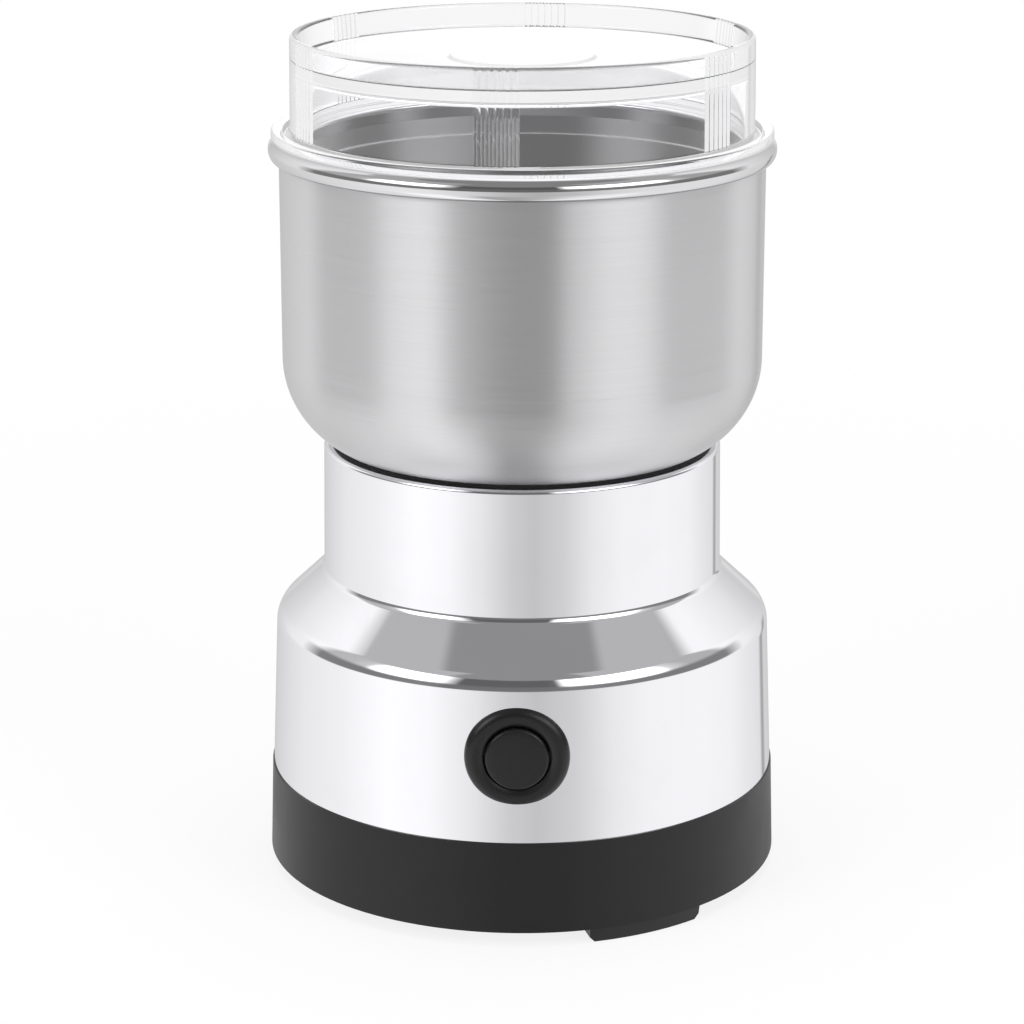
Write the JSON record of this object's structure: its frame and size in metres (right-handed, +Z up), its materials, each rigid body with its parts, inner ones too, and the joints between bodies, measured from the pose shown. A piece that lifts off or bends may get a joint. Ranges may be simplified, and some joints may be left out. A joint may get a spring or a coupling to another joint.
{
  "type": "electric spice grinder",
  "caption": "Electric blade grinder: clear ribbed lift-off lid, rolled-rim steel bowl with crossed blades, polished waisted shell, black base and a round push-button.",
  "frame": {"origin": "centre of the ring of feet, on the surface that the grinder stands on", "axes": "+Z up along the motor shaft; the push-button faces -Y; +X is to the right seen from the front"},
  "size_m": [0.1, 0.1, 0.1634],
  "materials": {
    "base_plastic": "fine satin, moulded black",
    "polished_shell": "mirror polish",
    "chassis_plastic": "moulded, natural",
    "bowl_steel": "brushed round the bowl",
    "black_rubber": "matt",
    "hub_metal": "turned",
    "bronze": "sintered",
    "bracket_metal": "stamped",
    "core_steel": "stacked sheet",
    "copper_wire": "enamelled copper winding",
    "screw_steel": "zinc plated",
    "brass": "stamped",
    "carbon": "pressed carbon",
    "spring_steel": "drawn wire",
    "button_plastic": "satin black",
    "switch_plastic": "moulded black",
    "shaft_steel": "ground",
    "commutator_copper": "turned copper bars",
    "blade_steel": "stamped, ground edges",
    "clear_lid": "clear moulded polystyrene"
  },
  "bodies": {
    "housing": {"base_skirt": "base_plastic", "bottom_cover": "base_plastic", "cover_screws": "screw_steel", "outer_shell": "polished_shell", "chassis": "chassis_plastic", "chassis_screws": "screw_steel", "bowl": "bowl_steel", "bowl_seat_ring": "black_rubber", "bowl_hub": "hub_metal", "hub_nut": "screw_steel", "shaft_seal": "black_rubber", "upper_bearing": "bronze", "lower_bearing": "bronze", "upper_bracket": "bracket_metal", "lower_bracket": "bracket_metal", "stator_core": "core_steel", "field_coils": "copper_wire", "stator_bolts": "screw_steel", "motor_dampers": "black_rubber", "motor_screws": "screw_steel", "brush_holders": "brass", "carbon_brushes": "carbon", "brush_springs": "spring_steel", "button_bezel": "button_plastic", "bezel_nut": "button_plastic", "switch_body": "switch_plastic", "switch_bracket": "bracket_metal", "switch_screws": "screw_steel", "button_spring": "spring_steel", "lead_inlet": "black_rubber"},
    "rotor": {"motor_shaft": "shaft_steel", "armature_core": "core_steel", "armature_windings": "copper_wire", "commutator": "commutator_copper", "cooling_fan": "chassis_plastic", "blade_sleeve": "hub_metal", "lower_blade": "blade_steel", "upper_blade": "blade_steel", "blade_washer": "blade_steel", "blade_nut": "blade_steel"},
    "button": {"power_button": "button_plastic"},
    "lid": {"lid": "clear_lid"}
  },
  "joints": [
    {"name": "blade_spin", "type": "hinge", "parent": "housing", "child": "rotor", "pos_m": [0, 0, 0.0946], "axis": [0, 0, 1], "continuous": true},
    {"name": "button_press", "type": "slide", "parent": "housing", "child": "button", "axis": [0, 1, 0], "range_m": [0, 0.0025], "stiffness_N_per_m": 400, "springref_m": -0.003, "deforming": ["button_spring"]},
    {"name": "lid_lift", "type": "slide", "parent": "housing", "child": "lid", "axis": [0, 0, 1], "range_m": [0, 0.045]}
  ]
}
